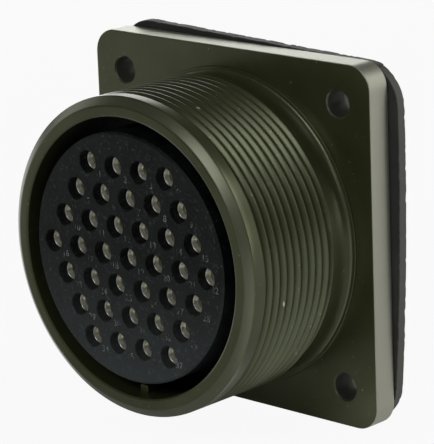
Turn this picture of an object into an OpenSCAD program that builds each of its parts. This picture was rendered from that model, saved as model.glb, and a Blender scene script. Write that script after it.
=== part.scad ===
// Square-flange box-mounting receptacle of a circular connector, with thirty-seven socket contacts.
// Row frame: the mating axis runs along Y with the open face towards -Y, +Z is up,
// and the origin is the middle of the flange's rear face.
// Each piece is drawn standing on the axis frame: x to the right, y up, z forward along the axis.

/* [Flange] */
// Thickness of the flange
flange_t = 3.8; // [2.5:0.1:6]
// Radius of the flange's four corners
flange_corner_r = 3.5; // [1:0.1:5]
// Distance from the boss's edge to the centre of a screw hole
hole_reach = 5.451; // [4:0.001:8]
// Distance from the centre of a screw hole to the flange's edges
hole_edge = 5.565; // [4.5:0.005:8]
// Diameter of the screw holes
hole_d = 3.73; // [3:0.01:4.5]
// Width of the chamfer at both mouths of a screw hole
hole_chamfer = 0.2; // [0.1:0.05:0.4]

/* [Barrel] */
// Length of the barrel, from the flange's front face to the rim
barrel_len = 21; // [19.6:0.1:26]
// Diameter over the crests of the coupling thread, which sets the size of the whole connector
thread_d = 44.45; // [36:0.01:56]
// Pitch of the coupling thread
thread_pitch = 1.411; // [1.2:0.001:1.5]
// Number of grooves that the thread shows along the barrel
thread_grooves = 10; // [4:1:10]
// Depth of a thread groove
thread_depth = 0.76; // [0.5:0.01:0.8]
// Plain land from the rim to the first groove, bevelled nose included
front_land = 2.5; // [1.5:0.1:3]
// Length of the nose's bevel at the rim
nose_len = 0.9; // [0.4:0.1:1.2]
// Width of the nose's bevel, seen from the front
nose_w = 1.25; // [0.5:0.05:1.5]
// Depth of the necked-in relief between the thread and the flange, below the crests
neck_drop = 0.925; // [0.8:0.005:1.1]
// How far the low round boss on the flange stands out past the crests
boss_step = 0.375; // [0.2:0.005:1.5]
// Height of the low round boss
boss_h = 0.4; // [0.2:0.1:0.6]
// Width of the bevel at the boss's edge
boss_bevel = 0.1; // [0.05:0.05:0.2]
// Width of the hollow curve between the boss and the neck, seen from the front
cove_w = 1; // [0.5:0.05:1.1]
// Length of the hollow curve along the neck
cove_len = 2.4; // [1:0.1:2.8]

/* [Bores] */
// Thickness of the barrel's wall, from the neck to the rear bore
barrel_wall = 1.92; // [1.6:0.01:3]
// Width of the channel between the insert and the front bore, which takes the plug's barrel
channel_w = 2.05; // [1.7:0.05:2.4]
// Width of the chamfer at the front bore's mouth
bore_chamfer = 0.2; // [0.1:0.05:0.4]
// Depth of the channel between the bore and the insert
channel_depth = 9.5; // [8:0.1:11]
// Thickness of the inner web that the insert seats against
web_t = 1.8; // [1.2:0.1:3]
// Width of the polarising key in the front bore
key_w = 1.4; // [1:0.1:3]
// Height of the polarising key, from the bore's wall inwards
key_h = 1.2; // [0.6:0.1:1.5]
// How far the polarising key stops behind the rim
key_setback = 2; // [1:0.1:5]

/* [Rear skirt] */
// Thickness of the wall of the rear skirt that passes through the panel
skirt_wall = 1.27; // [1:0.01:1.6]
// Length of the rear skirt behind the flange
skirt_len = 8; // [7:0.1:16]
// Width of the chamfer round the skirt's end
skirt_chamfer = 0.4; // [0.1:0.1:0.6]
// Depth of the retaining ring's groove in the skirt's wall
groove_depth = 0.6; // [0.4:0.05:0.7]

/* [Insert] */
// Width of the shoulder by which the rear half stands out past the front half
shoulder_w = 1.9; // [1.6:0.05:2.4]
// Bevel round the edge of the front half's face
face_bevel = 0.3; // [0.1:0.1:0.6]
// Width of the key in the rear bore that stops the insert from turning
insert_key_w = 2; // [1.5:0.1:3]
// Height of that key
insert_key_h = 0.9; // [0.5:0.1:1.2]
// Length of that key behind the web
insert_key_len = 10; // [4:0.5:12]

/* [Retaining ring] */
// Thickness of the ring
ring_t = 1.1; // [0.8:0.1:1.4]
// Width of the ring's section, from its outer to its inner edge
ring_w = 1.5; // [1.2:0.1:2]
// Width of the gap between the ring's ends
ring_gap = 6; // [3:0.5:12]
// Distance from the skirt's end to the ring
ring_setback = 2.8; // [2:0.1:4]

/* [Contacts] */
// Rings of contacts round the middle one
contact_rings = 3; // [1:1:3]
// Distance from the outermost contacts to the edge of the insert's face
layout_margin = 3.1125; // [2.6:0.0025:3.6]
// Turn of the contact layout, clockwise from the front being negative
layout_turn = -1.3; // [-3:0.1:3]
// Diameter of a contact's cavity in the front half
cavity_d = 3.05; // [2.95:0.05:3.3]
// Width of the chamfer at a cavity's mouth
cavity_chamfer = 0.1; // [0.05:0.05:0.2]
// How far a contact's mouth lies behind the insert's face
contact_recess = 1.4; // [1:0.1:3]
// Diameter of a contact's shank and of its hood
shank_d = 2.8; // [2.7:0.05:2.85]
// Diameter over a socket's spring tines
tine_d = 2.3; // [2.1:0.05:2.4]
// Bore of a socket
socket_d = 1.62; // [1.5:0.01:1.7]
// Width of the slot between the tines
slot_w = 0.35; // [0.2:0.05:0.5]
// Length of the tines' root, from the slot's end to the shank
tine_root = 1.4; // [0.8:0.1:2]
// Length of the shank between the collar and the hood
shank_len = 1; // [0.5:0.1:2]
// Diameter of the collar that the two insert halves trap
collar_d = 3.6; // [3.4:0.05:3.9]
// Thickness of the collar
collar_t = 1.2; // [0.8:0.1:2]

/* [Hoods] */
// Diameter of the opening in a hood's front end
hood_entry_d = 1.8; // [1.75:0.05:2]
// Length of the funnel that leads into the opening
funnel_len = 0.55; // [0.3:0.05:0.8]
// Thickness of the metal at the opening
hood_lip = 0.2; // [0.1:0.05:0.3]
// Width of the rounded lip round the funnel
hood_lip_w = 0.16; // [0.1:0.02:0.2]

/* [Solder cups] */
// Diameter of a solder cup
cup_d = 2.5; // [2.3:0.05:2.7]
// Bore of a solder cup
cup_bore_d = 1.9; // [1.6:0.05:2]
// Depth of a solder cup
cup_depth = 5; // [4:0.1:6]
// Length of the cup's open side
scoop_len = 3; // [2:0.1:3.6]
// How far the cups stand out past the skirt
cup_reach = 3; // [2:0.1:6]

/* [Gasket] */
// How much wider and higher than the flange the gasket is
gasket_extra = 1; // [-1:0.1:3]
// How much is trimmed off the gasket's lower edge
gasket_trim = 1; // [0:0.1:2]
// Thickness of the gasket
gasket_t = 1.5; // [1:0.1:2.5]
// Radius of the gasket's corners
gasket_corner_r = 6; // [3:0.1:7]
// Turn of the gasket's outline on its holes, clockwise from the front being negative
gasket_turn = -1.9; // [-3:0.1:3]
// Shift of the gasket's outline to the right
gasket_shift = 1; // [-1:0.1:1]
// Width of the gap between the gasket and the skirt
gasket_gap = 0.6; // [0.3:0.1:2]
// How much wider than the flange's the gasket's screw holes are
gasket_hole_room = 0.8; // [0.2:0.1:1.5]

/* [Fits] */
// Gap between the insert and the shell, all round
insert_gap = 0.08; // [0.03:0.01:0.15]
// Gap round a contact in the rear half, and round a collar in its seat
contact_gap = 0.05; // [0.03:0.01:0.1]
// Gap between a hood and the tines inside it
hood_gap = 0.03; // [0.02:0.01:0.06]
// Gap on each side of the ring in its groove
ring_room = 0.05; // [0.03:0.01:0.1]

/* [Hidden] */
$fn = 64;
// Shares of the thread pitch that the flat crest and the flat root take
crest_share = 1 / 8;
root_share = 1 / 4;
// Steps in a rounded corner of a turned profile
arc_steps = 6;
// Depth by which joined shapes reach into each other, and cuts past a face
lap = 0.5;

flange_front = flange_t;
rim = flange_front + barrel_len;
web_front = rim - channel_depth;
web_rear = web_front - web_t;
parting = web_rear;
skirt_end = -skirt_len;
ring_rear = skirt_end + ring_setback;
insert_rear = ring_rear + ring_t;
cup_end = skirt_end - cup_reach;

thread_r = thread_d / 2;
root_r = thread_r - thread_depth;
neck_r = thread_r - neck_drop;
boss_r = thread_r + boss_step;
rear_bore_r = neck_r - barrel_wall;
skirt_r = rear_bore_r + skirt_wall;
insert_r = rear_bore_r - insert_gap;
face_r = insert_r - shoulder_w;
web_r = face_r + insert_gap;
bore_r = face_r + channel_w;
groove_r = rear_bore_r + groove_depth;
ring_r = groove_r - ring_room;

hole_spacing = sqrt(2) * (boss_r + hole_reach);
flange_w = hole_spacing + 2 * hole_edge;
gasket_w = flange_w + gasket_extra;

thread_front = rim - front_land;
thread_rear = thread_front - thread_grooves * thread_pitch;
half_crest = thread_pitch * crest_share / 2;
root_flat = thread_pitch * root_share;
flank = (thread_pitch - 2 * half_crest - root_flat) / 2;
runout = (thread_r - neck_r) * flank / thread_depth;

shank_r = shank_d / 2;
tine_r = tine_d / 2;
collar_r = collar_d / 2;
cup_r = cup_d / 2;
contact_pitch = (face_r - layout_margin) / contact_rings;
hood_front = rim - contact_recess;
hood_rear = parting + shank_len;
hood_wall_front = hood_front - funnel_len - hood_lip;
tine_front = hood_wall_front - 2 * hood_gap;
collar_rear = parting - collar_t;

seats = [
    for (row = [contact_rings : -1 : -contact_rings])
        let (gaps = 2 * contact_rings - abs(row))
            for (i = [0 : gaps])
                [(i - gaps / 2) * contact_pitch, row * contact_pitch * sqrt(3) / 2]
];
function contact_name(i) = str("socket_contact_", i < 9 ? "0" : "", i + 1);

// Points of a quarter of an ellipse round a centre, from one angle to another
function arc(centre, w, h, from, to) = [
    for (k = [0 : arc_steps])
        let (a = from + (to - from) * k / arc_steps)
            centre + [w * cos(a), h * sin(a)]
];

// Stands a piece, drawn along its own axis, in the row's frame
module in_row() {
    rotate([90, 0, 0])
        children();
}

// Puts a copy at every contact's seat in the layout
module at_seats() {
    rotate(layout_turn)
        for (seat = seats)
            translate(seat)
                children();
}

// Puts a copy at the four screw holes
module at_screws() {
    for (x = [-1, 1], y = [-1, 1])
        translate([x, y] * hole_spacing / 2)
            children();
}

// Flat plate with round corners
module rounded_plate(w, h, r) {
    square([w, h - 2 * r], center = true);
    square([w - 2 * r, h], center = true);
    for (x = [-1, 1], y = [-1, 1])
        translate([x * (w / 2 - r), y * (h / 2 - r)])
            circle(r);
}

// Thread grooves as turned rings, from the rear crest to the front one
function thread_profile() = [
    for (i = [0 : thread_grooves - 1])
        let (crest = thread_rear + i * thread_pitch + half_crest)
            each [
                [thread_r, crest],
                [root_r, crest + flank],
                [root_r, crest + flank + root_flat],
                [thread_r, crest + 2 * flank + root_flat]
            ]
];

// Turned section of the shell: skirt, boss, neck, thread, rim, front bore, web and rear bore
module shell_section() {
    outside = concat(
        [
            [skirt_r - skirt_chamfer, skirt_end],
            [skirt_r, skirt_end + skirt_chamfer],
            [skirt_r, flange_front / 2],
            [boss_r, flange_front / 2],
            [boss_r, flange_front + boss_h - boss_bevel],
            [boss_r - boss_bevel, flange_front + boss_h]
        ],
        arc([neck_r + cove_w, flange_front + boss_h + cove_len], cove_w, cove_len, 270, 180),
        [
            [neck_r, thread_rear - half_crest - runout],
            [thread_r, thread_rear - half_crest]
        ],
        thread_profile(),
        [
            [thread_r, rim - nose_len],
            [thread_r - nose_w, rim]
        ]
    );
    inside = [
        [bore_r + bore_chamfer, rim],
        [bore_r, rim - bore_chamfer],
        [bore_r, web_front],
        [web_r, web_front],
        [web_r, web_rear],
        [rear_bore_r, web_rear],
        [rear_bore_r, insert_rear + ring_room],
        [groove_r, insert_rear + ring_room],
        [groove_r, ring_rear - ring_room],
        [rear_bore_r, ring_rear - ring_room],
        [rear_bore_r, skirt_end]
    ];
    polygon(concat(outside, inside));
}

// A screw hole with a chamfer at both mouths
module screw_hole() {
    mouth_r = hole_d / 2 + hole_chamfer;
    translate([0, 0, -lap])
        cylinder(d = hole_d, h = flange_t + 2 * lap);
    cylinder(r1 = mouth_r, r2 = hole_d / 2, h = hole_chamfer);
    translate([0, 0, flange_t - hole_chamfer])
        cylinder(r1 = hole_d / 2, r2 = mouth_r, h = hole_chamfer);
}

// Square plate of the flange, open where the turned body passes through it
module flange_plate() {
    difference() {
        linear_extrude(flange_t)
            difference() {
                rounded_plate(flange_w, flange_w, flange_corner_r);
                circle((rear_bore_r + skirt_r) / 2);
            }
        at_screws()
            screw_hole();
    }
}

// Rib along a bore's wall, reaching into the wall by the lap
module bore_rib(wall_r, w, h, z0, z1) {
    translate([-w / 2, wall_r - h, z0])
        cube([w, h + lap, z1 - z0]);
}

module shell() {
    color("#4b4c3a")
        in_row() {
            rotate_extrude()
                shell_section();
            flange_plate();
            rotate(180)
                bore_rib(bore_r, key_w, key_h, web_front - lap, rim - key_setback);
            bore_rib(rear_bore_r, insert_key_w, insert_key_h, web_rear - insert_key_len, web_rear + lap);
        }
}

// Front half of the insert, which passes through the web and is bonded to the rear half
module front_insert() {
    color("#24272a")
        in_row()
            difference() {
                rotate_extrude()
                    polygon([
                        [0, parting],
                        [face_r, parting],
                        [face_r, rim - face_bevel],
                        [face_r - face_bevel, rim],
                        [0, rim]
                    ]);
                at_seats() {
                    translate([0, 0, parting - lap])
                        cylinder(d = cavity_d, h = rim - parting + 2 * lap);
                    translate([0, 0, rim - cavity_chamfer])
                        cylinder(d1 = cavity_d, d2 = cavity_d + 2 * cavity_chamfer, h = cavity_chamfer);
                }
            }
}

// Rear half of the insert, whose shoulder seats against the web, with a slot for the shell's insert key
module rear_insert() {
    keyway_w = insert_key_w + 2 * insert_gap;
    keyway_floor = rear_bore_r - insert_key_h - insert_gap;
    color("#2a2c2e")
        in_row()
            difference() {
                translate([0, 0, insert_rear])
                    cylinder(r = insert_r, h = parting - insert_rear);
                translate([-keyway_w / 2, keyway_floor, insert_rear - lap])
                    cube([keyway_w, insert_r, parting - insert_rear + 2 * lap]);
                at_seats() {
                    translate([0, 0, insert_rear - lap])
                        cylinder(r = cup_r + contact_gap, h = parting - insert_rear + lap);
                    translate([0, 0, collar_rear])
                        cylinder(r = collar_r + contact_gap, h = collar_t + lap);
                }
            }
}

module insert_retaining_ring() {
    color("#9a9b98")
        in_row()
            translate([0, 0, ring_rear])
                difference() {
                    cylinder(r = ring_r, h = ring_t);
                    translate([0, 0, -lap])
                        cylinder(r = ring_r - ring_w, h = ring_t + 2 * lap);
                    translate([-ring_gap / 2, -ring_r - lap, -lap])
                        cube([ring_gap, ring_w + 2 * lap, ring_t + 2 * lap]);
                }
}

module flange_gasket() {
    color("#1b1b1c")
        in_row()
            translate([0, 0, -gasket_t])
                linear_extrude(gasket_t)
                    difference() {
                        translate([gasket_shift, 0])
                            rotate(gasket_turn)
                                translate([0, gasket_trim / 2])
                                    rounded_plate(gasket_w, gasket_w - gasket_trim, gasket_corner_r);
                        circle(skirt_r + gasket_gap);
                        at_screws()
                            circle(d = hole_d + gasket_hole_room);
                    }
}

// Thin closed-entry sleeve with a funnel that leads the pin in
module hood() {
    rotate_extrude()
        polygon(concat(
            [
                [shank_r, hood_rear],
                [shank_r, hood_front - hood_lip_w]
            ],
            arc([shank_r - hood_lip_w, hood_front - hood_lip_w], hood_lip_w, hood_lip_w, 0, 90),
            [
                [hood_entry_d / 2, hood_front - funnel_len],
                [hood_entry_d / 2, hood_wall_front],
                [tine_r + hood_gap, hood_wall_front],
                [tine_r + hood_gap, hood_rear]
            ]
        ));
}

module contact_hoods() {
    color("#c9c8c0")
        in_row()
            at_seats()
                hood();
}

// Solder cup's open upper side, with a round end where the cutter came out
module scoop() {
    round_end = cup_end + scoop_len - cup_r;
    translate([-cup_d, 0, cup_end - lap])
        cube([2 * cup_d, cup_d, round_end - cup_end + lap]);
    translate([-cup_d, cup_r, round_end])
        rotate([0, 90, 0])
            cylinder(r = cup_r, h = 2 * cup_d);
}

// Turned contact: spring tines, shank, collar and solder cup in one piece
module contact_blank() {
    rotate_extrude()
        polygon([
            [0, cup_end + cup_depth],
            [cup_bore_d / 2, cup_end + cup_depth],
            [cup_bore_d / 2, cup_end],
            [cup_r, cup_end],
            [cup_r, collar_rear],
            [collar_r, collar_rear],
            [collar_r, parting],
            [shank_r, parting],
            [shank_r, hood_rear],
            [tine_r, hood_rear],
            [tine_r, tine_front],
            [socket_d / 2, tine_front],
            [socket_d / 2, hood_rear],
            [0, hood_rear]
        ]);
}

module socket_contact(seat) {
    color("#c2b48c")
        in_row()
            rotate(layout_turn)
                translate(seat)
                    difference() {
                        contact_blank();
                        translate([-slot_w / 2, -shank_r, hood_rear + tine_root])
                            cube([slot_w, shank_d, tine_front - hood_rear - tine_root + lap]);
                        scoop();
                    }
}

shell();
front_insert();
rear_insert();
insert_retaining_ring();
flange_gasket();
contact_hoods();
for (i = [0 : len(seats) - 1])
    socket_contact(seats[i]);
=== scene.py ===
import bpy
import bmesh
import math
from mathutils import Matrix, Vector, noise


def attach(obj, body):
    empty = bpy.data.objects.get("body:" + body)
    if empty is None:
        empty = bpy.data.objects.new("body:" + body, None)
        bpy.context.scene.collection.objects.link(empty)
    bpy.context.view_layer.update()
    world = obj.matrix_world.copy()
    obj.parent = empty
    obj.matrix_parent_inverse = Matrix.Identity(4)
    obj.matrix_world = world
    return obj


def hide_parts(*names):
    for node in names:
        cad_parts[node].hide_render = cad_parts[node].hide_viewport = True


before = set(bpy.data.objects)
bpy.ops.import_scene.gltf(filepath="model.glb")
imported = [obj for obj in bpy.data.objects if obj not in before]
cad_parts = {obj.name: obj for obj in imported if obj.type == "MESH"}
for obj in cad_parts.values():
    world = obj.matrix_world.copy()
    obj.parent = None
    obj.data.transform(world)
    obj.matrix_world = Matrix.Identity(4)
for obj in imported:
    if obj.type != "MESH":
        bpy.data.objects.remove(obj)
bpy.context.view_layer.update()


# Camera at the photograph's place: to the right of the open face and a little above it,
# far enough away for the long lens that makes the square flange look nearly parallel.
mm = 0.001
cam_turn, cam_rise, cam_roll = (math.radians(v) for v in (43.225, 15.167, -2.187))
cam_far, cam_left, cam_over, cam_lens, cam_sensor = 396.767, 2.215, 0.44, 230.58, 36
flange_middle = Vector((0, -3.8, 0))
aim_back = Vector((math.sin(cam_turn) * math.cos(cam_rise), -math.cos(cam_turn) * math.cos(cam_rise),
                   math.sin(cam_rise)))
level = Vector((math.cos(cam_turn), math.sin(cam_turn), 0))
upright = aim_back.cross(level)
cam_right = math.cos(cam_roll) * level + math.sin(cam_roll) * upright
cam_up = math.cos(cam_roll) * upright - math.sin(cam_roll) * level
stand = cam_far * aim_back - cam_left * cam_right + cam_over * cam_up + flange_middle
camera = bpy.data.objects.new("camera", bpy.data.cameras.new("camera"))
camera.matrix_world = Matrix.Translation(stand * mm) @ Matrix((cam_right, cam_up, aim_back)).transposed().to_4x4()
camera.data.lens = cam_lens
camera.data.sensor_width = cam_sensor
camera.data.clip_start = 0.01
bpy.context.collection.objects.link(camera)
bpy.context.scene.camera = camera


# Shell: one piece of aluminium, turned on a lathe with its coupling thread, milled to a square flange,
# drilled for four screws and plated, then finished in olive drab. It carries all the other pieces.
flange_front, boss_front, rim, skirt_end = 3.8, 4.2, 24.8, -8
half_flange, corner_r, edge_round = 25.4, 3.5, 0.16
hole_at, hole_r, hole_chamfer = 19.835, 1.865, 0.2
screw_places = [(x, up) for x in (-hole_at, hole_at) for up in (-hole_at, hole_at)]
crest_r, neck_r, boss_r, skirt_r = 22.225, 21.3, 22.6, 20.65
cove_wide, cove_long = 1, 2.4
thread_pitch, thread_depth, crest_half, flank = 1.411, 0.76, 0.088, 0.441
thread_front, thread_rear, first_crest, thread_turns = 22.5, 8.1, 5.118, 14
runout_back, runout_long, land_lead, neck_slope = 0.62, 0.35, 0.4, 0.537
bevel_long, bevel_wide, bevel_turn = 1.02, 1.5, 54.2
land_round, rim_round = 0.234, 0.774
front_bore, web_bore, rear_bore, groove_r = 19.45, 17.48, 19.38, 19.98
web_front, web_rear, groove_front, groove_rear = 15.3, 13.5, -4.05, -5.25
columns = 288


def around(r, a, z):
    """Point at radius r and angle a round the mating axis, z in front of the flange's rear face."""
    return Vector((r * math.cos(a), -z, r * math.sin(a))) * mm


def arc(r, z, w, h, start, stop, steps):
    """Points along an ellipse in a turned section, as (radius, z), from one angle to another in degrees."""
    angles = [math.radians(start + (stop - start) * k / steps) for k in range(steps + 1)]
    return [(r + w * math.cos(a), z + h * math.sin(a)) for a in angles]


def turned(mesh, section, steps, closed=False):
    """Turns a section, which may change with the angle, round the mating axis."""
    rings = [[mesh.verts.new(around(r, a, z)) for r, z in section(a)]
             for a in (2 * math.pi * j / steps for j in range(steps + 1))]
    last = len(rings[0]) if closed else len(rings[0]) - 1
    for here, there in zip(rings, rings[1:]):
        for i in range(last):
            k = (i + 1) % len(here)
            mesh.faces.new((here[i], here[k], there[k], there[i]))


def piece(name, mesh, sharp=32):
    """Makes a finished mesh an object at the origin, with merged seams, outward faces and crisp edges."""
    bmesh.ops.remove_doubles(mesh, verts=mesh.verts, dist=2e-7)
    bmesh.ops.dissolve_degenerate(mesh, edges=mesh.edges, dist=1e-8)
    mesh.normal_update()
    bmesh.ops.recalc_face_normals(mesh, faces=mesh.faces)
    data = bpy.data.meshes.new(name)
    mesh.to_mesh(data)
    mesh.free()
    data.shade_smooth()
    data.set_sharp_from_angle(angle=math.radians(sharp))
    made = bpy.data.objects.new(name, data)
    bpy.context.collection.objects.link(made)
    return made


def thread_section(a):
    """The helical thread along the barrel at one angle: a single start, right-hand, cut away at the relief
    and lifted out of the metal at the front land."""
    points = []
    foot = crest_half + flank
    for k in range(thread_turns):
        crest = first_crest + (k + a / (2 * math.pi)) * thread_pitch
        for dz, depth in ((-foot - 0.05, 1), (-foot + 0.045, 0.9), (-crest_half - 0.035, 0.08),
                          (-crest_half + 0.03, 0), (crest_half - 0.03, 0), (crest_half + 0.035, 0.08),
                          (foot - 0.045, 0.9), (foot + 0.05, 1)):
            groove = crest + math.copysign(thread_pitch / 2, dz)
            lift = min(max((thread_front - runout_back - groove) / runout_long, 0), 1)
            points.append((crest_r - thread_depth * depth * lift * lift * (3 - 2 * lift), crest + dz))
    behind = [p for p in points if p[1] < thread_rear]
    ahead = points[len(behind)]
    share = (thread_rear - behind[-1][1]) / (ahead[1] - behind[-1][1])
    cut = (behind[-1][0] + share * (ahead[0] - behind[-1][0]), thread_rear)
    return [cut if z < thread_rear else (r, min(z, thread_front + land_lead)) for r, z in points]


def shell_section(a):
    """The turned outline from the flange's front, over the rim and back through the bores to its rear."""
    return ([(boss_r, flange_front), (boss_r, boss_front - 0.09), (boss_r - 0.03, boss_front - 0.03),
             (boss_r - 0.1, boss_front)]
            + arc(neck_r + cove_wide, boss_front + cove_long, cove_wide, cove_long, 270, 180, 14)
            + [(neck_r, thread_rear - neck_slope)]
            + thread_section(a)
            + arc(crest_r - land_round, rim - bevel_long, land_round, land_round, 0, bevel_turn, 4)
            + arc(crest_r - bevel_wide, rim - rim_round, rim_round, rim_round, bevel_turn, 90, 5)
            + [(front_bore + 0.28, rim), (front_bore + 0.05, rim - 0.1), (front_bore, rim - 0.22),
               (front_bore, web_front), (web_bore, web_front), (web_bore, web_rear), (rear_bore, web_rear),
               (rear_bore, groove_front), (groove_r, groove_front), (groove_r, groove_rear),
               (rear_bore, groove_rear), (rear_bore, skirt_end + 0.15), (rear_bore + 0.15, skirt_end),
               (skirt_r - 0.4, skirt_end), (skirt_r, skirt_end + 0.4), (skirt_r, 0)])


def square_outline(half, r, steps=10):
    """Points round a square with round corners, as (x, up)."""
    points = []
    for q in range(4):
        x, up = math.copysign(half - r, (q + 1) % 4 - 1.5) * -1, math.copysign(half - r, 1.5 - q)
        for k in range(steps + 1):
            a = math.pi / 2 * (q + k / steps)
            points.append((x + r * math.cos(a), up + r * math.sin(a)))
    return points


def circle(x, up, r, steps):
    """Points round a circle, as (x, up)."""
    return [(x + r * math.cos(2 * math.pi * k / steps), up + r * math.sin(2 * math.pi * k / steps))
            for k in range(steps)]


def loop(mesh, points, z):
    """A closed ring of vertices at one depth."""
    return [mesh.verts.new(Vector((x, -z, up)) * mm) for x, up in points]


def skin(mesh, rings):
    """Walls between rings of the same count."""
    for here, there in zip(rings, rings[1:]):
        for i in range(len(here)):
            k = (i + 1) % len(here)
            mesh.faces.new((here[i], here[k], there[k], there[i]))


def edges_round(mesh, ring):
    """The edges that join a ring's vertices, made where they don't exist yet."""
    return [mesh.edges.get((v, w)) or mesh.edges.new((v, w)) for v, w in zip(ring, ring[1:] + ring[:1])]


def close_face(mesh, edges):
    """Fills a flat face between its outline and the openings in it."""
    bmesh.ops.triangle_fill(mesh, use_beauty=True, use_dissolve=False, edges=edges)


def rib(mesh, x, up, w, h, z0, z1, soft):
    """A bar along the mating axis, with eased edges."""
    made = bmesh.ops.create_cube(mesh, size=1)["verts"]
    for v in made:
        v.co = Vector((x + v.co.x * w, -(z0 + (0.5 - v.co.y) * (z1 - z0)), up + v.co.z * h)) * mm
    edges = {e for v in made for e in v.link_edges}
    bmesh.ops.bevel(mesh, geom=list(edges), offset=soft * mm, segments=2, affect="EDGES", profile=0.5)


shell_mesh = bmesh.new()
turned(shell_mesh, shell_section, columns)
sides = []
for inset, z in ((edge_round, 0), (edge_round * 0.3, edge_round * 0.3), (0, edge_round),
                 (0, flange_front - edge_round), (edge_round * 0.3, flange_front - edge_round * 0.3),
                 (edge_round, flange_front)):
    sides.append(loop(shell_mesh, square_outline(half_flange - inset, corner_r - inset), z))
skin(shell_mesh, sides)
rear_edges, front_edges = edges_round(shell_mesh, sides[0]), edges_round(shell_mesh, sides[-1])
for x, up in screw_places:
    walls = [loop(shell_mesh, circle(x, up, r, 48), z)
             for r, z in ((hole_r + hole_chamfer, 0), (hole_r, hole_chamfer),
                          (hole_r, flange_front - hole_chamfer), (hole_r + hole_chamfer, flange_front))]
    skin(shell_mesh, walls)
    rear_edges += edges_round(shell_mesh, walls[0])
    front_edges += edges_round(shell_mesh, walls[-1])
front_edges += edges_round(shell_mesh, loop(shell_mesh, circle(0, 0, boss_r, columns), flange_front))
rear_edges += edges_round(shell_mesh, loop(shell_mesh, circle(0, 0, skirt_r, columns), 0))
close_face(shell_mesh, front_edges)
close_face(shell_mesh, rear_edges)
# The key that lets a plug in one way round only, and the one that keeps the insert from turning.
rib(shell_mesh, x=0, up=-18.95, w=1.4, h=1.4, z0=15.1, z1=rim - 2, soft=0.15)
rib(shell_mesh, x=0, up=19.03, w=2, h=1.1, z0=3.5, z1=13.7, soft=0.15)
shell = piece("shell_olive", shell_mesh, 20)


def linear(code):
    """An sRGB hex colour as linear red, green, blue and alpha."""
    parts = [int(code[i:i + 2], 16) / 255 for i in (1, 3, 5)]
    return [c / 12.92 if c <= 0.04045 else ((c + 0.055) / 1.055) ** 2.4 for c in parts] + [1]


def feed(node, inputs):
    """Fills a node's inputs, each with a value or with the socket that feeds it."""
    for key, value in inputs.items():
        if isinstance(value, bpy.types.NodeSocket):
            node.id_data.links.new(value, node.inputs[key])
        else:
            node.inputs[key].default_value = value


def add(tree, kind, inputs=None, **settings):
    """Adds a node with its settings and inputs."""
    made = tree.nodes.new(kind)
    for key, value in settings.items():
        setattr(made, key, value)
    feed(made, inputs or {})
    return made


def finish(name):
    """A new material with its tree, its surface shader and the object's own coordinates."""
    made = bpy.data.materials.new(name)
    made.use_nodes = True
    tree = made.node_tree
    return made, tree, tree.nodes["Principled BSDF"], add(tree, "ShaderNodeTexCoord").outputs["Object"]


def number(tree, operation, *values):
    """A number worked out from others."""
    return add(tree, "ShaderNodeMath", dict(enumerate(values)), operation=operation).outputs[0]


def arrow(tree, operation, *values):
    """A vector worked out from others, or a length where the operation gives one."""
    made = add(tree, "ShaderNodeVectorMath", dict(enumerate(values)), operation=operation)
    return made.outputs["Value" if operation in ("LENGTH", "DISTANCE") else "Vector"]


def measure(tree, vector, axis):
    """A vector's part along X to the right, Y to the rear or Z upwards."""
    return add(tree, "ShaderNodeSeparateXYZ", {0: vector}).outputs[axis]


def grains(tree, place, size, detail, rough=0.5):
    """Noise with grains of a size in mm."""
    return add(tree, "ShaderNodeTexNoise", {"Vector": place, "Scale": 1 / (size * mm), "Detail": detail,
                                            "Roughness": rough}).outputs["Fac"]


def ease(tree, value, start, stop, low=0, high=1):
    """Goes from low to high as a value goes from start to stop, and stays there beyond them."""
    return add(tree, "ShaderNodeMapRange", {"Value": value, "From Min": start, "From Max": stop,
                                            "To Min": low, "To Max": high}).outputs[0]


def two_tones(tree, value, start, first, stop, second):
    """Goes from the first hex colour to the second as a value goes from start to stop."""
    made = add(tree, "ShaderNodeValToRGB", {"Fac": value})
    low, high = made.color_ramp.elements
    low.position, low.color = start, linear(first)
    high.position, high.color = stop, linear(second)
    return made.outputs["Color"]


def over(tree, share, shade, code):
    """Lays a hex colour over a shade, by a share."""
    return add(tree, "ShaderNodeMix", {0: share, 6: shade, 7: linear(code)}, data_type="RGBA").outputs[2]


def relief_of(tree, height, strength, deep, **under):
    """Fine relief for the light, with a depth in mm, that may lie on a coarser one."""
    return add(tree, "ShaderNodeBump", {"Height": height, "Strength": strength, "Distance": deep * mm,
                                        **under}).outputs[0]


# Olive drab chromate over plated aluminium: a thin conversion coat with a satin metal sheen. The eye sees a warm
# dark green that clouds slightly, with pale specks and three bare nicks from handling, fine turning marks round the
# axis (drawn coarser than real ones, to show) and grey hole walls. Some of the colour is painted light: the bevel is
# paler, partly from wear and partly as a painted highlight; the milled sides are paler, partly for their milled
# finish and partly as a painted highlight; and the channel darkens towards its floor as painted shade.
rim_face_r, bevel_wear_and_highlight_from, channel_shade_from, channel_shade_to = 21, 0.85, 1.9, 4.8
olive, tree, surface, place = finish("olive_drab_chromate")
grit = grains(tree, place, 0.22, 2)
shade = two_tones(tree, grains(tree, place, 9, 3), 0.35, "#4f5434", 0.65, "#595f40")
specks = ease(tree, grains(tree, place, 0.5, 3, 0.6), 0.7, 0.74)
shade = over(tree, specks, shade, "#9a9c88")
for nick, slim in (((8.14, -18.3, 20.66), (0.35, 1.6, 0.9)), ((21.79, -18, -4.24), (1, 1, 0.35)),
                   ((18.3, -11.9, -12.57), (0.5, 1, 0.4))):
    middle = tuple(v * thin * mm for v, thin in zip(nick, slim))
    near = arrow(tree, "DISTANCE", arrow(tree, "MULTIPLY", place, slim), middle)
    shade = over(tree, ease(tree, near, 0.2 * mm, 0.1 * mm), shade, "#e6e4d6")
across = arrow(tree, "MULTIPLY", place, (1, 0, 1))
radius = arrow(tree, "LENGTH", across)
along = measure(tree, place, "Y")
quarter = arrow(tree, "ABSOLUTE", across)
to_hole = arrow(tree, "DISTANCE", quarter, (hole_at * mm, 0, hole_at * mm))
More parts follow.
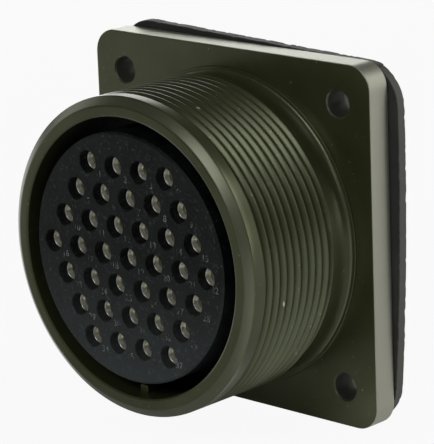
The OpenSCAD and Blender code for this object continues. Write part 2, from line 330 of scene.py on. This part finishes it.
in_hole = ease(tree, to_hole, (hole_r + 0.155) * mm, (hole_r + 0.035) * mm)
shade = over(tree, in_hole, shade, "#5a5b52")
# The milled sides of the flange are paler, partly for their milled finish and partly as a painted highlight.
flat_half = (half_flange - corner_r) * mm
reach = arrow(tree, "MAXIMUM", arrow(tree, "SUBTRACT", quarter, (flat_half, 0, flat_half)), (0, 0, 0))
milled = ease(tree, arrow(tree, "LENGTH", reach), (corner_r - 0.1) * mm, (corner_r - 0.04) * mm)
shade = over(tree, milled, shade, "#c6c7b5")
# Painted shade: the channel between the rim and the insert darkens towards its floor, where shade falls deep in it.
inside = number(tree, "LESS_THAN", radius, (front_bore + 0.02) * mm)
deep = ease(tree, along, (channel_shade_from - rim) * mm, (channel_shade_to - rim) * mm, 0, 0.97)
shade = over(tree, number(tree, "MULTIPLY", inside, deep), shade, "#0e0f0a")
# The bevel round the rim is paler, partly from wear and partly as a painted highlight for the light it catches.
outside = number(tree, "GREATER_THAN", radius, rim_face_r * mm)
bevel_wear_and_highlight = ease(tree, along, (bevel_wear_and_highlight_from - rim) * mm, (bevel_wear_and_highlight_from - 0.1 - rim) * mm, 0, 0.5)
bevel_wear_and_highlight = number(tree, "MULTIPLY", bevel_wear_and_highlight, outside)
shade = over(tree, bevel_wear_and_highlight, shade, "#757866")
sheen = ease(tree, grit, 0, 1, 0.28, 0.38)
sheen = number(tree, "MULTIPLY_ADD", milled, 0.15, sheen)
sheen = number(tree, "MULTIPLY_ADD", in_hole, 0.4, sheen)
metal = number(tree, "MULTIPLY_ADD", milled, 0.3, 0.55)
lathe = add(tree, "ShaderNodeCombineXYZ", {"X": radius, "Y": along}).outputs[0]
marked = ease(tree, radius, (boss_r + 0.1) * mm, boss_r * mm, 0, 0.16)
marked = number(tree, "MAXIMUM", marked, bevel_wear_and_highlight)
relief = relief_of(tree, grit, 0.12, 0.01)
relief = relief_of(tree, grains(tree, lathe, 0.16, 2), marked, 0.02, Normal=relief)
feed(surface, {"Base Color": shade, "Metallic": metal, "Roughness": sheen, "Normal": relief,
               "Coat Normal": relief, "Coat Weight": 0.35, "Coat Roughness": 0.24})
shell.data.materials.append(olive)
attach(shell, "root")
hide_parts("shell")


# Insert: two black halves of moulded thermoset, bonded to each other, that hold the contacts apart.
# The front half fills the barrel; the rear half is held in the skirt by the spring ring.
# The eye sees a dull black with faint flow clouds and fine grey dust, and the face turns greyer towards its bottom.
greyer_down_to = -18
insert, tree, surface, place = finish("black_moulded_thermoset")
flow = grains(tree, place, 3, 5, 0.6)
dust = ease(tree, grains(tree, place, 0.5, 5, 0.75), 0.57, 0.7, 0, 0.6)
# The face turns greyer towards its bottom.
greyer_low = ease(tree, measure(tree, place, "Z"), 0, greyer_down_to * mm, 0, 0.42)
shade = two_tones(tree, flow, 0.38, "#060908", 0.62, "#181f1f")
shade = over(tree, number(tree, "ADD", dust, greyer_low), shade, "#6b7273")
feed(surface, {"Base Color": shade, "Roughness": ease(tree, flow, 0, 1, 0.38, 0.55), "Specular IOR Level": 0.25,
               "Normal": relief_of(tree, grains(tree, place, 0.2, 2), 0.15, 0.01)})
for name in ("front_insert", "rear_insert"):
    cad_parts[name].data.materials.clear()
    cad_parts[name].data.materials.append(insert)


# Contacts: one turned and silver-plated socket in each cavity, with two spring tines in front, a collar that the
# insert's halves trap, and a solder cup behind. All thirty-seven are alike and stand in rows on a triangular grid.
grid_pitch, grid_rings, grid_turn = 4.7625, 3, math.radians(-1.3)
parting, hood_rear, hood_front, cup_end = 13.5, 14.5, 23.4, -11
cup_r, cup_bore, cup_floor = 1.25, 0.95, cup_end + 5
collar_r, collar_rear, shank_r = 1.8, parting - 1.2, 1.4
tine_r, tine_taper, tine_front, socket_r = 1.15, 17, 22.4, 0.81
contact_sharp = 32
contact_section = ([(0, cup_floor + 0.3), (cup_bore, cup_floor), (cup_bore, cup_end + 0.08),
                    (cup_bore + 0.05, cup_end), (cup_r - 0.05, cup_end), (cup_r, cup_end + 0.06),
                    (cup_r, collar_rear), (collar_r - 0.04, collar_rear), (collar_r, collar_rear + 0.04),
                    (collar_r, parting - 0.04), (collar_r - 0.04, parting), (shank_r, parting),
                    (shank_r, hood_rear - 0.04), (shank_r - 0.04, hood_rear), (tine_r, hood_rear),
                    (tine_r, tine_taper), (tine_r - 0.03, tine_front)]
                   + arc(0.98, tine_front + 0.04, 0.14, 0.14, 0, 90, 4)
                   + [(0.88, tine_front + 0.16), (socket_r - 0.01, tine_front), (socket_r, hood_rear + 0.2),
                      (0, hood_rear)])
blank = bmesh.new()
turned(blank, lambda a: contact_section, 32)
contact = piece("contact_one", blank, contact_sharp)
cutters = []
for name, up, w, h, z0, z1, soft in (("slot", 0, 0.35, 3, 15.9, 23, 0.01),
                                     ("scoop", 1.28, 3, 2.5, cup_end - 1, cup_end + 3, 0.9)):
    tool = bmesh.new()
    rib(tool, 0, up, w, h, z0, z1, soft)
    cutters.append(piece(name, tool))
    cut = contact.modifiers.new(name, "BOOLEAN")
    cut.operation, cut.object, cut.solver = "DIFFERENCE", cutters[-1], "EXACT"


def plain(obj):
    """Turns what an object's modifiers make into its own plain mesh."""
    shown = obj.evaluated_get(bpy.context.evaluated_depsgraph_get())
    data = bpy.data.meshes.new_from_object(shown)
    obj.modifiers.clear()
    obj.data = data


plain(contact)
for tool in cutters:
    bpy.data.objects.remove(tool)
contact.data.shade_smooth()
contact.data.set_sharp_from_angle(angle=math.radians(contact_sharp))

# Silver plate over a copper alloy: a soft white metal with a faint warm cast and cloudy tarnish.
silver, tree, surface, place = finish("silver_plated_copper_alloy")
tarnish = grains(tree, place, 1.4, 4)
feed(surface, {"Base Color": two_tones(tree, tarnish, 0.35, "#cfc9b4", 0.62, "#ece9dc"),
               "Roughness": ease(tree, tarnish, 0, 1, 0.5, 0.35), "Metallic": 1})

# The layout: rows of a triangular grid inside a hexagon, turned a little, with one piece at every seat.
layout = bpy.data.node_groups.new("contact_layout", "GeometryNodeTree")
layout.is_modifier = True
sockets = {}
for name, kind in (("Geometry", "NodeSocketGeometry"), ("Piece", "NodeSocketObject"), ("Pitch", "NodeSocketFloat"),
                   ("Rings", "NodeSocketInt"), ("Turn", "NodeSocketFloat"), ("Finish", "NodeSocketMaterial")):
    sockets[name] = layout.interface.new_socket(name, in_out="INPUT", socket_type=kind).identifier
layout.interface.new_socket("Geometry", in_out="OUTPUT", socket_type="NodeSocketGeometry")
given = add(layout, "NodeGroupInput").outputs
across = number(layout, "MULTIPLY_ADD", given["Rings"], 2, 1)
seats = add(layout, "GeometryNodePoints", {"Count": number(layout, "MULTIPLY", across, across)}).outputs[0]
index = add(layout, "GeometryNodeInputIndex").outputs[0]
row = number(layout, "FLOOR", number(layout, "DIVIDE", index, across))
row = number(layout, "SUBTRACT", row, given["Rings"])
place_in_row = number(layout, "FLOORED_MODULO", index, across)
place_in_row = number(layout, "SUBTRACT", place_in_row, given["Rings"])
reach = number(layout, "ABSOLUTE", number(layout, "ADD", row, place_in_row))
outside = number(layout, "GREATER_THAN", reach, number(layout, "ADD", given["Rings"], 0.5))
shifted = number(layout, "MULTIPLY_ADD", row, 0.5, place_in_row)
x = number(layout, "MULTIPLY", shifted, given["Pitch"])
up = number(layout, "MULTIPLY", number(layout, "MULTIPLY", row, given["Pitch"]), math.sqrt(3) / 2)
seat = add(layout, "ShaderNodeCombineXYZ", {"X": x, "Z": up}).outputs[0]
seats = add(layout, "GeometryNodeSetPosition", {"Geometry": seats, "Position": seat}).outputs[0]
seats = add(layout, "GeometryNodeDeleteGeometry", {"Geometry": seats, "Selection": outside}).outputs[0]
one = add(layout, "GeometryNodeObjectInfo", {"Object": given["Piece"], "As Instance": True}).outputs["Geometry"]
set_in = add(layout, "GeometryNodeInstanceOnPoints", {"Points": seats, "Instance": one}).outputs[0]
lean = add(layout, "ShaderNodeCombineXYZ", {"Y": number(layout, "MULTIPLY", given["Turn"], -1)}).outputs[0]
set_in = add(layout, "GeometryNodeTransform", {"Geometry": set_in, "Rotation": lean}).outputs[0]
set_in = add(layout, "GeometryNodeRealizeInstances", {"Geometry": set_in}).outputs[0]
set_in = add(layout, "GeometryNodeSetMaterial", {"Geometry": set_in, "Material": given["Finish"]}).outputs[0]
add(layout, "NodeGroupOutput", {0: set_in})


def lay_out(name, one_piece, material):
    """Puts one piece at every seat of the layout as a single plain mesh."""
    made = bpy.data.objects.new(name, bpy.data.meshes.new(name))
    bpy.context.collection.objects.link(made)
    spread = made.modifiers.new("layout", "NODES")
    spread.node_group = layout
    for socket, value in (("Piece", one_piece), ("Pitch", grid_pitch * mm), ("Rings", grid_rings),
                          ("Turn", grid_turn), ("Finish", material)):
        spread[sockets[socket]] = value
    plain(made)
    bpy.data.objects.remove(one_piece)
    return made


contacts = lay_out("socket_contacts", contact, silver)
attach(contacts, "root")
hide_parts(*(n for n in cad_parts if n.startswith("socket_contact_")))


# Hoods: thin drawn sleeves of bright steel pressed over the tines, one per contact. The rounded lip and the funnel
# in front lead a pin in and keep anything thicker out.
hood_r, hood_inside, entry_r = 1.4, 1.18, 0.9
hood_section = ([(hood_r, hood_rear), (hood_r, hood_front - 0.05), (hood_r - 0.015, hood_front - 0.015),
                 (hood_r - 0.05, hood_front)]
                + arc(1.31, hood_front - 0.1, 0.08, 0.1, 90, 160, 5)
                + [(1.2, hood_front - 0.14), (entry_r + 0.03, hood_front - 0.52), (entry_r, hood_front - 0.58),
                   (entry_r, hood_front - 0.75), (hood_inside, hood_front - 0.75), (hood_inside, hood_rear)])
sleeve = bmesh.new()
turned(sleeve, lambda a: hood_section, 32, closed=True)

# Stainless steel: a near-white mirror with faint drawing lines along the sleeve, bright at the lip and duller down
# the funnel, where it is also greyer as painted shade.
bright, tree, surface, place = finish("drawn_stainless_steel")
drawn = add(tree, "ShaderNodeMapping", {"Vector": place, "Scale": (1, 0.08, 1)}).outputs[0]
lines = grains(tree, drawn, 0.2, 3)
# Painted shade: the colour greys down the funnel, deeper in the cavity.
funnel = ease(tree, measure(tree, place, "Y"), (0.1 - hood_front) * mm, (0.26 - hood_front) * mm, 0, 0.75)
shade = two_tones(tree, lines, 0.35, "#e8e8dc", 0.65, "#fbfbf2")
sheen = ease(tree, lines, 0, 1, 0.24, 0.34)
feed(surface, {"Base Color": over(tree, funnel, shade, "#d0d0bc"),
               "Roughness": number(tree, "MULTIPLY_ADD", funnel, 0.12, sheen), "Metallic": 1})
hoods = lay_out("closed_entry_hoods", piece("hood_one", sleeve), bright)
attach(hoods, "root")
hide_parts("contact_hoods")


# Contact numbers: small plain figures printed in grey ink beside each cavity, on the insert's front for the mating
# side and on its rear for the person who solders. Handling has rubbed the ink thin, so the eye sees grey patches.
figure_high, font_scale, figure_reach, ink_thick = 0.95, 1.37, 16, 0.012
face_front, face_rear = 24.8, -4.1


def printed(face, side):
    """A mesh of all the figures on one face; side is 1 for the front and -1 for the rear."""
    sheet = bmesh.new()
    cavities = []
    for row in range(grid_rings, -grid_rings - 1, -1):
        count = 2 * grid_rings + 1 - abs(row)
        for k in range(count):
            cavities.append(((k - (count - 1) / 2) * grid_pitch, row * math.sqrt(3) / 2 * grid_pitch))
    for figure, cavity in enumerate(cavities, 1):
        at = Vector(cavity) + Vector((side * grid_pitch / 2, -grid_pitch / math.sqrt(12)))
        at *= min(1, figure_reach / at.length)
        at = Matrix.Rotation(grid_turn, 2) @ at
        text = bpy.data.curves.new("figure", "FONT")
        text.body, text.size, text.extrude = str(figure), figure_high * font_scale, 0
        text.align_x, text.align_y = "CENTER", "CENTER"
        holder = bpy.data.objects.new("figure", text)
        bpy.context.collection.objects.link(holder)
        flat = bpy.data.meshes.new_from_object(holder.evaluated_get(bpy.context.evaluated_depsgraph_get()))
        for v in flat.vertices:
            v.co = Vector((at.x + side * v.co.x, -(face + side * ink_thick), at.y + v.co.y)) * mm
        sheet.from_mesh(flat)
        bpy.data.objects.remove(holder)
        bpy.data.meshes.remove(flat)
    return sheet


numbers = piece("contact_numbers", printed(face_front, 1))
rear_numbers = piece("contact_numbers_rear", printed(face_rear, -1))
grey_ink, tree, surface, place = finish("rubbed_grey_ink")
rubbed = grains(tree, place, 0.7, 4)
feed(surface, {"Base Color": two_tones(tree, rubbed, 0.4, "#1d2022", 0.65, "#9a9e9e"), "Roughness": 0.6})
for sheet in (numbers, rear_numbers):
    sheet.data.materials.append(grey_ink)
    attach(sheet, "root")


# Spring ring: flat spring steel snapped into the skirt's groove, which keeps the insert from backing out.
# The eye sees a plain grey metal, a little uneven from the mill.
spring, tree, surface, place = finish("spring_steel")
mill = grains(tree, place, 0.5, 4)
feed(surface, {"Base Color": two_tones(tree, mill, 0.3, "#7d7e7b", 0.7, "#a9aaa6"),
               "Roughness": ease(tree, mill, 0, 1, 0.3, 0.5), "Metallic": 1})
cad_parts["insert_retaining_ring"].data.materials.clear()
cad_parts["insert_retaining_ring"].data.materials.append(spring)


# Gasket: a square of black rubber sheet, knife-cut a little larger than the flange and not quite in line with it,
# that seals the flange against the panel. Its cut edge is rough and its sides bow slightly.
gasket_half, gasket_corner, gasket_thick, gasket_trim = 25.85, 6, 1.5, 1.0
gasket_turn, gasket_shift = math.radians(-1.9), 1.0
gasket_bore, gasket_hole = skirt_r + 0.6, hole_r + 0.4
waver_deep, nick_deep, bow_deep, edge_step, edge_draw_in = 0.06, 0.16, 0.4, 0.25, 0.0025
gasket_mesh = bmesh.new()
outline = [(x, up if up > 0 else up + gasket_trim) for x, up in square_outline(gasket_half, gasket_corner, 14)]
fine = []
for (x0, u0), (x1, u1) in zip(outline, outline[1:] + outline[:1]):
    steps = max(1, round(math.hypot(x1 - x0, u1 - u0) / edge_step))
    fine += [(x0 + (x1 - x0) * k / steps, u0 + (u1 - u0) * k / steps) for k in range(steps)]


def cut_edge(depth):
    """The gasket's outline at one depth of its thickness, with the knife's waver and torn nicks."""
    points = []
    for x, up in fine:
        waver = waver_deep * noise.noise(Vector((x * 0.3, up * 0.3, 3.1)))
        nicks = nick_deep * min(0.0, noise.noise(Vector((x * 1.3, up * 1.3, depth * 0.7))))
        bow = -bow_deep * min(1.0, (up / 19) ** 2) if x > 22 else 0.0
        grow = 1 + (waver + nicks - 0.03) / math.hypot(x, up)
        x, up = x * grow + bow, up * grow
        points.append((gasket_shift + x * math.cos(gasket_turn) - up * math.sin(gasket_turn),
                       x * math.sin(gasket_turn) + up * math.cos(gasket_turn)))
    return points


walls = []
for depth, drawn_in in ((-gasket_thick, edge_draw_in), (-gasket_thick + 0.1, 0), (-0.95, 0), (-0.5, 0), (-0.1, 0),
                        (0, edge_draw_in)):
    walls.append(loop(gasket_mesh, [(x * (1 - drawn_in), up * (1 - drawn_in)) for x, up in cut_edge(depth)], depth))
skin(gasket_mesh, walls)
rear_edges, front_edges = edges_round(gasket_mesh, walls[0]), edges_round(gasket_mesh, walls[-1])
for x, up, r, steps in [(0, 0, gasket_bore, 144)] + [(x, up, gasket_hole, 40) for x, up in screw_places]:
    walls = [loop(gasket_mesh, circle(x, up, r, steps), z) for z in (-gasket_thick, 0)]
    skin(gasket_mesh, walls)
    rear_edges += edges_round(gasket_mesh, walls[0])
    front_edges += edges_round(gasket_mesh, walls[1])
close_face(gasket_mesh, rear_edges)
close_face(gasket_mesh, front_edges)
gasket = piece("gasket_rubber_sheet", gasket_mesh, 20)

# Rubber sheet: a soft dull black with a faint grey bloom and a fine grain. Its cut edge is greyer, partly where the
# knife has torn it and partly as a painted highlight.
rubber, tree, surface, place = finish("black_rubber_sheet")
facing = measure(tree, add(tree, "ShaderNodeTexCoord").outputs["Normal"], "Y")
# The cut edge is greyer, partly torn by the knife and partly a painted highlight for the light the sides catch.
torn_edge_and_highlight = ease(tree, number(tree, "ABSOLUTE", facing), 0.7, 0.3)
shade = two_tones(tree, grains(tree, place, 5, 4), 0.3, "#252526", 0.7, "#353534")
feed(surface, {"Base Color": over(tree, torn_edge_and_highlight, shade, "#66655f"), "Roughness": 0.62,
               "Normal": relief_of(tree, grains(tree, place, 0.35, 3), 0.35, 0.04)})
gasket.data.materials.append(rubber)
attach(gasket, "root")
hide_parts("flange_gasket")


# Stage: a plain white table under the part and soft lamps round it. The camera sees the table white and the shadow
# light. Metal mirrors that white only in some directions and away from the part, as among a photographer's white
# and dark cards, so that the bevel and the flange's edge catch light and the faces stay dark.
table_high, table_half, table_white = -0.0267, 3, 0.93
mirrored_shadow_under, white_past = 0.017, 0.026
floor_mesh = bmesh.new()
bmesh.ops.create_grid(floor_mesh, x_segments=1, y_segments=1, size=table_half)
for v in floor_mesh.verts:
    v.co.z = table_high
floor = piece("floor", floor_mesh)
paper, tree, surface, place = finish("white_table")
feed(surface, {"Base Color": linear("#e8e8e6"), "Roughness": 0.9, "Specular IOR Level": 0.1})
ray = add(tree, "ShaderNodeLightPath").outputs
mirrored = number(tree, "MAXIMUM", ray["Is Glossy Ray"], ray["Is Transmission Ray"])
# Cards by their bearing in degrees, from straight ahead of the open face round to its right, and their whiteness.
cards = ((-90, 1), (-68, 1), (-52, 0.3), (-42, 0.06), (32, 0.08), (37, 1), (48, 1), (64, 0.15), (110, 0.15),
         (122, 0.12), (180, 0.12))
ahead = number(tree, "MULTIPLY", measure(tree, place, "Y"), -1)
bearing = number(tree, "ARCTAN2", measure(tree, place, "X"), ahead)
bearing = ease(tree, bearing, math.radians(cards[0][0]), math.radians(cards[-1][0]))
lit = add(tree, "ShaderNodeValToRGB", {"Fac": bearing})
stops = lit.color_ramp.elements
for degrees, whiteness in cards:
    share = (degrees - cards[0][0]) / (cards[-1][0] - cards[0][0])
    stop = stops[0] if share == 0 else stops[-1] if share == 1 else stops.new(share)
    stop.color = (whiteness, whiteness, whiteness, 1)
# Painted shadow for the metal: close under the part the table is mirrored dark, where its shadow falls.
away = arrow(tree, "LENGTH", arrow(tree, "MULTIPLY", place, (1, 1, 0)))
away = ease(tree, away, mirrored_shadow_under, white_past, 0.06, 1)
lit = number(tree, "MINIMUM", lit.outputs["Color"], away)
mirrored = number(tree, "MULTIPLY", mirrored, lit)
seen = number(tree, "MAXIMUM", ray["Is Camera Ray"], mirrored)
seen = number(tree, "MULTIPLY", seen, table_white)
white = add(tree, "ShaderNodeEmission", {"Color": (1, 1, 1, 1), "Strength": 1}).outputs[0]
mixed = add(tree, "ShaderNodeMixShader", {0: seen, 1: surface.outputs[0], 2: white}).outputs[0]
feed(tree.nodes["Material Output"], {"Surface": mixed})
floor.data.materials.append(paper)

# Round soft lamps that face the part: their places and widths in metres, and their power.
for name, where, wide, power in (("lamp_above", (0.24, 0.0, 0.6), 0.3, 0.1),
                                 ("lamp_above_right", (0.42, 0.29, 0.4), 0.3, 0.7),
                                 ("lamp_back_left", (-0.5, 0.42, 0.16), 0.5, 1.2),
                                 ("lamp_left", (-0.6, -0.1, 0.2), 0.3, 0.2),
                                 ("lamp_right", (0.58, 0.27, 0.14), 0.3, 0.6),
                                 ("lamp_front", (0.06, -0.56, 0.33), 0.3, 0.75),
                                 ("lamp_near", (0.45, -0.45, 0.3), 0.2, 0.2)):
    lamp = bpy.data.objects.new(name, bpy.data.lights.new(name, "AREA"))
    lamp.data.shape, lamp.data.size, lamp.data.energy = "DISK", wide, power
    lamp.matrix_world = Matrix.Translation(where) @ Vector(where).to_track_quat("Z", "Y").to_matrix().to_4x4()
    bpy.context.collection.objects.link(lamp)

# The room is white to the camera, and gives the part only a little light from all round.
room_light, room_mirrored = 0.03, 0.02
world = bpy.data.worlds.new("soft_room")
world.use_nodes = True
tree = world.node_tree
ray = add(tree, "ShaderNodeLightPath").outputs
mirrored = number(tree, "MAXIMUM", ray["Is Glossy Ray"], ray["Is Transmission Ray"])
seen = number(tree, "MULTIPLY_ADD", mirrored, room_mirrored, room_light)
seen = number(tree, "MAXIMUM", seen, ray["Is Camera Ray"])
feed(tree.nodes["Background"], {"Color": linear("#ffffff"), "Strength": seen})
bpy.context.scene.world = world
bpy.context.scene.view_settings.view_transform = "Standard"
